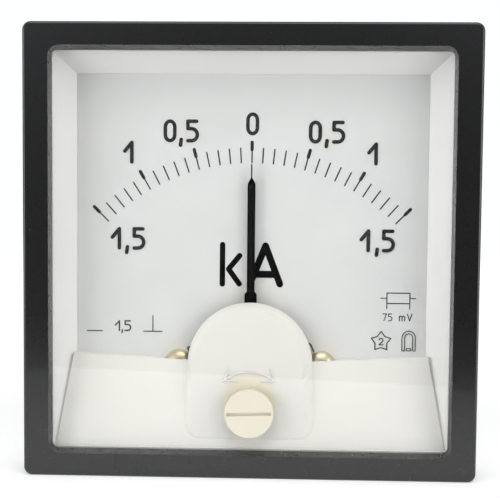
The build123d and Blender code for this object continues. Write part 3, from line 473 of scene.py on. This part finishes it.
def one(x, z, w, h, pen):
    """The figure 1: a short flag and an upright at its right."""
    pen([(x, z + h * 0.56), (x + w, z + h), (x + w, z)], False)


def five(x, z, w, h, pen):
    """The figure 5: roof, short upright and an open bowl."""
    r = h * 0.31
    bowl = arc((x + w - r, z + r), r, 90, -90, 12)
    pen([(x + w * 0.92, z + h), (x, z + h), (x, z + 2 * r)] + bowl + [(x, z)], False)


def seven(x, z, w, h, pen):
    pen([(x, z + h), (x + w, z + h), (x + w * 0.25, z)], False)


def two(x, z, w, h, pen):
    r = w / 2
    pen(arc((x + r, z + h - r), r, 170, -30, 10) + [(x, z), (x + w, z)], False)


def comma(x, z, w, h, pen):
    pen([(x, z), (x - w * 0.08, z - h)], False)


FIGURES = {"0": zero, "1": one, "2": two, "5": five, "7": seven}


def figures(printing, text, places, z, width, height, pen_width):
    """Prints figures with their lower left corners at these places; a comma hangs below the line."""
    def pen(points, closed):
        printing.stroke(points, pen_width, closed)
    for letter, x in zip(text, places):
        if letter == ",":
            comma(x, z + 0.35 * pen_width, width, height * 0.3, pen)
        else:
            FIGURES[letter](x, z, width * (0.74 if letter == "1" else 1.0), height, pen)


SCALE = {"inner": 36.8, "minor": 39.6, "major": 40.85, "bold_from": 39.15}
STEP = 3
TICK_W = 0.24
DIVISIONS = 15
MAJOR_EVERY = 5


def on_scale(angle, radius):
    """A point on the dial at this angle from upright, clockwise."""
    return (radius * sin(radians(angle)), AXIS_Z + radius * cos(radians(angle)))


def print_scale():
    """Fifteen divisions each side of nought, the longer ones with a bold outer end."""
    printing = Printing(DIAL_FACE_Y - PRINT_LIFT)
    for i in range(-DIVISIONS, DIVISIONS + 1):
        major = i % MAJOR_EVERY == 0
        outer = SCALE["major"] - 0.2 if major else SCALE["minor"]
        angle = i * STEP
        printing.stroke([on_scale(angle, SCALE["inner"]), on_scale(angle, outer)], TICK_W, round_ends=False)
        if major:
            ends = [on_scale(angle, SCALE["bold_from"] + 0.1), on_scale(angle, SCALE["major"] - 0.3)]
            printing.stroke(ends, 0.6)
    printing.finish("scale_marks", DIAL_INK)


def print_numerals():
    """1,5 - 1 - 0,5 - 0 - 0,5 - 1 - 1,5 round the scale."""
    printing = Printing(DIAL_FACE_Y - PRINT_LIFT)
    rows = (
        ("0", (-0.8,), 21.2), ("0,5", (-15.75, -12.85, -11.65), 19.85), ("0,5", (10.52, 13.5, 14.72), 19.8),
        ("1", (-23.1,), 15.95), ("1", (21.05,), 15.95),
        ("1,5", (-25.35, -22.6, -21.35), 0.3), ("1,5", (19.9, 22.8, 23.95), 0.3),
    )
    for text, places, z in rows:
        figures(printing, text, places, z, 1.72, 3.5, 0.66)
    printing.finish("scale_numerals", DIAL_INK)


def print_unit():
    """The large unit letters behind the pointer."""
    printing = Printing(DIAL_FACE_Y - PRINT_LIFT)
    printing.stroke([(-5.22, 1.1), (-5.22, -6.1)], 1.0)
    printing.stroke([(-2.1, -0.9), (-4.1, -3.35), (-2.15, -6.05)], 1.0)
    printing.stroke([(-0.15, -6.0), (2.6, 0.95), (5.25, -6.0)], 1.25)
    printing.stroke([(0.7, -4.25), (4.5, -4.25)], 1.3)
    printing.finish("unit_letters", UNIT_INK)


MARK_PEN = 0.2
LEAD_PEN = 0.18
FINE_PEN = 0.17
STAR_SIGN = {"centre": (23.75, -16.25), "radii": (1.85, 1.12)}
MAGNET_SIGN = {"x": 28.75, "bow": -15.5, "foot": -17.9, "radii": (1.2, 0.72)}
SHUNT_SIGN = {"left": 24.7, "right": 28.85, "top": -7.4, "bottom": -9.3, "lead": 0.95}
MILLIVOLT_Z = -12.45


def print_small_marks():
    """Class, use and test symbols low on the dial, all of them standard signs."""
    printing = Printing(DIAL_FACE_Y - PRINT_LIFT)
    printing.stroke([(-30.0, -14.95), (-27.2, -14.95)], MARK_PEN)
    figures(printing, "1,5", (-24.8, -23.5, -23.0), -14.85, 1.0, 1.75, 0.28)
    printing.stroke([(-17.9, -12.1), (-17.9, -14.95)], MARK_PEN)
    printing.stroke([(-19.6, -14.95), (-16.2, -14.95)], MARK_PEN)
    # external shunt, with its two potential leads
    left, right = SHUNT_SIGN["left"], SHUNT_SIGN["right"]
    top, bottom = SHUNT_SIGN["top"], SHUNT_SIGN["bottom"]
    middle = (top + bottom) / 2
    printing.stroke([(left, top), (right, top), (right, bottom), (left, bottom)], MARK_PEN, closed=True)
    for side in ([(left - 1.1, middle), (left - 0.1, middle)],
                 [(right + 0.1, middle), (right + 1.05, middle)],
                 [(left, bottom), (left, bottom - SHUNT_SIGN["lead"])],
                 [(right, bottom), (right, bottom - SHUNT_SIGN["lead"])]):
        printing.stroke(side, LEAD_PEN)
    figures(printing, "75", (24.05, 25.05), MILLIVOLT_Z, 0.62, 1.25, FINE_PEN)
    foot, shoulder, bend = MILLIVOLT_Z, MILLIVOLT_Z + 0.9, MILLIVOLT_Z + 0.7
    millivolt = ([(27.0, foot), (27.0, foot + 0.8), (27.3, shoulder), (27.5, bend), (27.5, foot)],
                 [(27.5, bend), (27.75, shoulder), (27.98, bend), (27.98, foot)],
                 [(28.45, foot + 1.25), (28.85, foot), (29.25, foot + 1.25)])
    for line in millivolt:
        printing.stroke(line, FINE_PEN)
    # test-voltage star
    x, z = STAR_SIGN["centre"]
    outer, inner = STAR_SIGN["radii"]
    points = [(x + r * sin(radians(a)), z + r * cos(radians(a)))
              for i in range(5) for r, a in ((outer, 72 * i), (inner, 72 * i + 36))]
    printing.stroke(points, MARK_PEN, closed=True)
    figures(printing, "2", (x - 0.35,), z - 0.62, 0.7, 1.2, MARK_PEN)
    # horseshoe magnet of a moving-coil movement, with the coil between its poles
    x, foot = MAGNET_SIGN["x"], MAGNET_SIGN["foot"]
    outer, inner = MAGNET_SIGN["radii"]
    for reach in (outer, inner):
        bow = arc((x, MAGNET_SIGN["bow"]), reach, 0, 180, 10)
        printing.stroke([(x + reach, foot)] + bow + [(x - reach, foot)], FINE_PEN)
    for side in (-1, 1):
        printing.stroke([(x + side * outer, foot), (x + side * inner, foot)], FINE_PEN)
    coil = [(x - 0.35, foot), (x - 0.35, foot + 0.45), (x + 0.35, foot + 0.45), (x + 0.35, foot)]
    printing.stroke(coil, 0.15, closed=True)
    printing.finish("small_marks", MARK_INK)


def ridge(bm, points, width, height, y):
    """A low rounded rib along the points on a plane that faces the front; it fades out at both ends."""
    profile = [(-0.5, 0.0), (-0.32, 0.6), (-0.12, 0.97), (0.12, 0.97), (0.32, 0.6), (0.5, 0.0)]
    rows = []
    for i, (x, z) in enumerate(points):
        before, after = points[max(i - 1, 0)], points[min(i + 1, len(points) - 1)]
        turn = atan2(after[1] - before[1], after[0] - before[0])
        rise = height * (0.15 if i in (0, len(points) - 1) else 1.0)
        across, along = -sin(turn) * width, cos(turn) * width
        rows.append([bm.verts.new((x + across * a, y - b * rise, z + along * a)) for a, b in profile])
    for row, following in zip(rows, rows[1:]):
        for i in range(len(profile) - 1):
            bm.faces.new((row[i], row[i + 1], following[i + 1], following[i]))


def densely(start, end, steps=8):
    """Points along a straight line, close enough together for a rib to fade in over the first step."""
    return [(start[0] + (end[0] - start[0]) * i / steps, start[1] + (end[1] - start[1]) * i / steps)
            for i in range(steps + 1)]


def emboss_arrow():
    """The raised double arrow over the corrector."""
    bm = bmesh.new()
    y = DOME_FACE_Y + 0.01
    ridge(bm, arc((-0.05, -28.9), 7.35, 50, 131, 24), 0.34, 0.16, y)
    for side in (-1, 1):
        ridge(bm, densely((side * 3.55, -20.75), (side * 4.45, -22.85)), 0.3, 0.15, y)
        ridge(bm, densely((side * 4.45, -23.15), (side * 2.15, -23.2)), 0.34, 0.16, y)
    piece = piece_from(bm, "corrector_arrow", MATERIALS["cream_plastic"])
    for face in piece.data.polygons:
        face.use_smooth = True


# ---------------------------------------------------------------- studio
def area_light(name, place, target, size, energy, colour=(1, 1, 1)):
    data = bpy.data.lights.new(name, "AREA")
    data.shape = "RECTANGLE"
    data.size, data.size_y = size
    data.energy = energy
    data.color = colour
    lamp = bpy.data.objects.new(name, data)
    lamp.location = place
    lamp.rotation_mode = "QUATERNION"
    lamp.rotation_quaternion = (Vector(target) - Vector(place)).to_track_quat("-Z", "Y")
    bpy.context.scene.collection.objects.link(lamp)


# Brightness of the room by direction: a dark oval in front, the walls round it, the table and the back
ROOM = {
    "front": 0.004, "oval": (0.27, 0.16), "reach": 1.6, "walls": 0.36,
    "table_from": 0.28, "table": 0.9, "behind": 0.75,
}
BACKDROP = 1.06


def surroundings():
    """White where the camera looks past the object; for the rest a dim room, brighter above and beside it."""
    world = bpy.data.worlds.new("studio")
    world.use_nodes = True
    tree = world.node_tree
    background = tree.nodes["Background"]

    def math(operation, first, second):
        node = tree.nodes.new("ShaderNodeMath")
        node.operation = operation
        for value, socket in ((first, node.inputs[0]), (second, node.inputs[1])):
            if isinstance(value, bpy.types.NodeSocket):
                tree.links.new(value, socket)
            else:
                socket.default_value = value
        return node.outputs["Value"]

    apart = tree.nodes.new("ShaderNodeSeparateXYZ")
    tree.links.new(tree.nodes.new("ShaderNodeTexCoord").outputs["Generated"], apart.inputs["Vector"])
    across, depth, height = apart.outputs
    above = math("MAXIMUM", height, 0.0)
    # how far a direction lies outside the dark oval straight in front
    sideways = math("POWER", math("ABSOLUTE", math("DIVIDE", across, ROOM["oval"][0]), 0.0), 2.0)
    upwards = math("POWER", math("DIVIDE", above, ROOM["oval"][1]), 2.0)
    outside = math("SUBTRACT", math("ADD", sideways, upwards), 1.0)
    walls = math("MULTIPLY", math("MINIMUM", math("MAXIMUM", outside, 0.0), ROOM["reach"]), ROOM["walls"])
    below = math("SUBTRACT", math("MULTIPLY", height, -1.0), ROOM["table_from"])
    table = math("MINIMUM", math("MAXIMUM", math("MULTIPLY", below, 6.0), 0.0), ROOM["table"])
    behind = math("MULTIPLY", math("MAXIMUM", depth, 0.0), ROOM["behind"])
    lit = math("SUBTRACT", math("ADD", walls, table), behind)
    room = math("ADD", math("MAXIMUM", lit, 0.0), ROOM["front"])
    mixer = tree.nodes.new("ShaderNodeMix")
    seen = tree.nodes.new("ShaderNodeLightPath").outputs["Is Camera Ray"]
    tree.links.new(seen, mixer.inputs[0])
    tree.links.new(room, mixer.inputs[2])
    mixer.inputs[3].default_value = BACKDROP
    tree.links.new(mixer.outputs[0], background.inputs["Strength"])
    background.inputs["Color"].default_value = (0.94, 0.965, 0.99, 1)
    bpy.context.scene.world = world


# Floor outline in metres; its front edge runs aslant, and the window shows that edge on the apron
FLOOR = ((-2, -0.478), (2, 0.282), (2, 0.6), (-2, 0.6))
# name, place, target, size, watts, colour
LAMPS = (
    ("lamp_top", (0.02, -0.26, 0.42), (0, 0, 0), (0.45, 0.32), 1.05, (1.0, 0.995, 0.985)),
    ("lamp_left", (-0.42, -0.30, 0.03), (0, 0, 0), (0.30, 0.30), 0.82, (1.0, 1.0, 1.0)),
    ("lamp_right", (0.42, -0.30, 0.03), (0, 0, 0), (0.30, 0.30), 0.76, (1.0, 0.99, 0.98)),
    ("lamp_back", (0, 0.44, 0.24), (0, 0.45, 0), (1.6, 0.30), 2.2, (1.0, 1.0, 1.0)),
)


def studio():
    """Pale floor under the bezel, a dim room in front and soft lamps above, at the sides and behind."""
    floor_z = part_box("bezel")[0][2]
    mesh = bpy.data.meshes.new("floor")
    mesh.from_pydata([(x, y, floor_z) for x, y in FLOOR], [], [(0, 1, 2, 3)])
    floor = bpy.data.objects.new("floor", mesh)
    bpy.context.scene.collection.objects.link(floor)
    n = Nodes("floor_paper")
    n.colour(n.ramp(n.noise(8.0), (0.3, 0.90), (0.7, 0.92)))
    n.set(Roughness=0.7, Emission_Color=(1, 1, 1, 1), Emission_Strength=0.3)
    mesh.materials.append(n.material)
    surroundings()
    for lamp in LAMPS:
        area_light(*lamp)
    bpy.context.scene.view_settings.view_transform = "Standard"


make_camera()
studio()
dress_cad_nodes()
print_scale()
print_numerals()
print_unit()
print_small_marks()
emboss_arrow()
